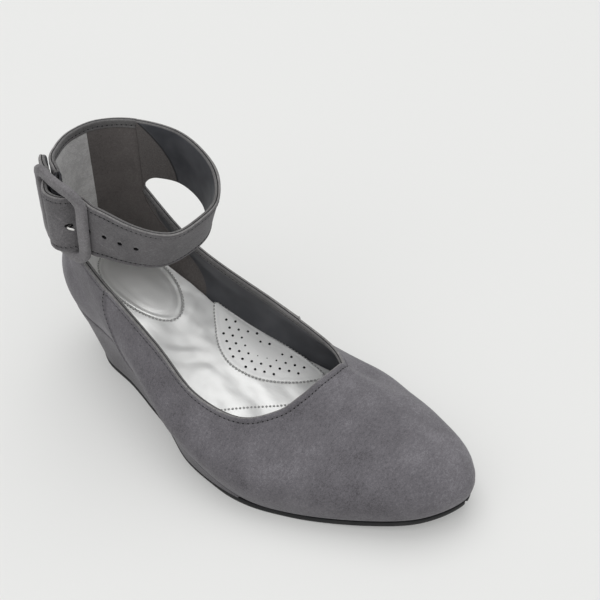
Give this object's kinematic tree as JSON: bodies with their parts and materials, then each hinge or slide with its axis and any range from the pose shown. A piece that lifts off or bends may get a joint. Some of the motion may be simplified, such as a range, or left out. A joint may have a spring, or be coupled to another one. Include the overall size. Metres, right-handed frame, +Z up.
{
  "type": "wedge shoe",
  "caption": "Low wedge pump with a high counter, a wide ankle strap and a covered square buckle on the outer side, right foot.",
  "frame": {"origin": "under the middle of the overall box, on the floor", "axes": "toe towards -Y, heel towards +Y, outer side of the foot towards -X, +Z up"},
  "size_m": [0.1014, 0.242, 0.1325],
  "materials": {
    "rubber": "matte black",
    "wedge_cover": "grey suede cloth, brushed nap",
    "suede": "grey suede cloth, brushed nap",
    "sock": "silver coated cloth, softly wrinkled",
    "webbing": "dark ribbed elastic",
    "nickel": "polished wire"
  },
  "bodies": {
    "root": {"outsole": "rubber", "wedge": "wedge_cover", "upper": "suede", "insole": "sock", "ankle_strap": "suede", "buckle_strap": "suede", "elastic": "webbing", "buckle": "suede", "prong": "nickel"}
  },
  "joints": []
}
